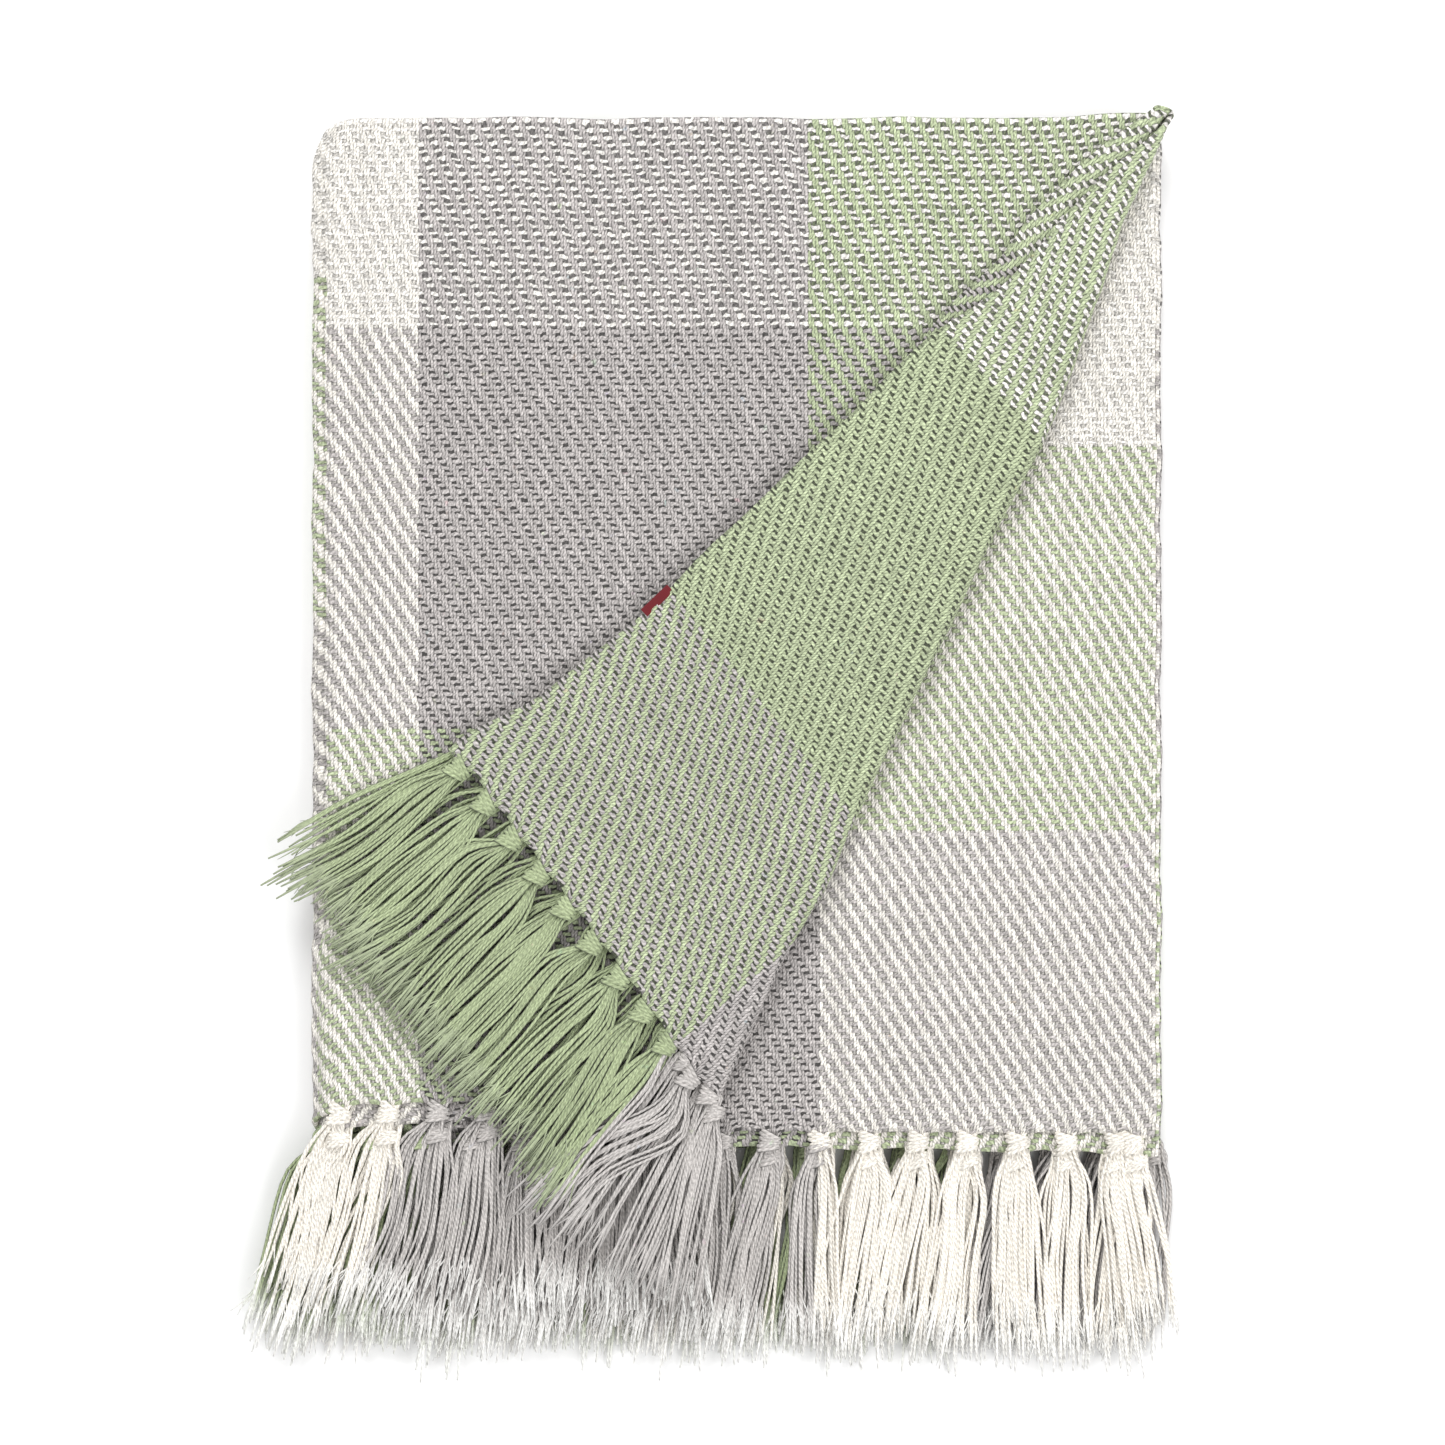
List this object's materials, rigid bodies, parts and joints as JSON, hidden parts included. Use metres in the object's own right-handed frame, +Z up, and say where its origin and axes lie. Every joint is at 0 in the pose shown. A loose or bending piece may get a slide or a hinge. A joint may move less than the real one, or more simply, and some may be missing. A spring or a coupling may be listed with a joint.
{
  "type": "folded throw blanket",
  "caption": "Folded twill throw with broad stripes, a front corner turned back over a diagonal crease, and a knotted fringe along its open hems.",
  "frame": {"origin": "on the underside of the bottom ply, at the centre of the folded cloth, where it rests on a table", "axes": "+Z up through the stack of plies; +Y from the fringe to the top fold; +X towards the open selvages"},
  "size_m": [0.4069, 0.545, 0.0327],
  "materials": {
    "striped_cloth": "matte",
    "cream_yarn": "matte",
    "grey_yarn": "matte",
    "green_yarn": "matte",
    "label_cloth": "satin"
  },
  "bodies": {
    "stack": {"back_lower_fringe": "grey_yarn", "back_panel_lower_ply": "striped_cloth", "back_panel_upper_ply": "striped_cloth", "back_upper_fringe": "cream_yarn", "centre_fold_ply5_to_ply8": "striped_cloth", "centre_fold_ply6_to_ply7": "striped_cloth", "front_lower_fringe": "grey_yarn", "front_panel_lower_ply": "striped_cloth", "front_panel_upper_ply": "striped_cloth", "front_upper_tassel_01": "cream_yarn", "front_upper_tassel_02": "cream_yarn", "front_upper_tassel_03": "grey_yarn", "front_upper_tassel_04": "grey_yarn", "front_upper_tassel_05": "grey_yarn", "front_upper_tassel_06": "grey_yarn", "front_upper_tassel_07": "grey_yarn", "left_fold_ply1_to_ply8": "striped_cloth", "left_fold_ply2_to_ply7": "striped_cloth", "left_fold_ply3_to_ply6": "striped_cloth", "left_fold_ply4_to_ply5": "striped_cloth", "second_lower_fringe": "cream_yarn", "second_panel_lower_ply": "striped_cloth", "second_panel_upper_ply": "striped_cloth", "second_upper_fringe": "grey_yarn", "second_upper_tassel_01": "cream_yarn", "second_upper_tassel_02": "cream_yarn", "second_upper_tassel_03": "cream_yarn", "second_upper_tassel_04": "cream_yarn", "second_upper_tassel_05": "cream_yarn", "second_upper_tassel_06": "cream_yarn", "second_upper_tassel_07": "cream_yarn", "third_lower_fringe": "grey_yarn", "third_panel_lower_ply": "striped_cloth", "third_panel_upper_ply": "striped_cloth", "third_upper_fringe": "green_yarn", "top_fold_back_panel": "striped_cloth", "top_fold_front_panel": "striped_cloth", "top_fold_second_panel": "striped_cloth", "top_fold_third_panel": "striped_cloth"},
    "corner_flap": {"flap_lower_fringe": "green_yarn", "flap_lower_ply": "striped_cloth", "flap_tassel_01": "green_yarn", "flap_tassel_02": "green_yarn", "flap_tassel_03": "green_yarn", "flap_tassel_04": "green_yarn", "flap_tassel_05": "green_yarn", "flap_tassel_06": "green_yarn", "flap_tassel_07": "green_yarn", "flap_tassel_08": "green_yarn", "flap_tassel_09": "green_yarn", "flap_upper_ply": "striped_cloth", "woven_label": "label_cloth"}
  },
  "joints": [
    {"name": "corner_fold", "type": "hinge", "parent": "stack", "child": "corner_flap", "pos_m": [0.0862, 0, 0.0262], "axis": [0.4187, 0.9081, 0], "range_deg": [0, 178]}
  ]
}
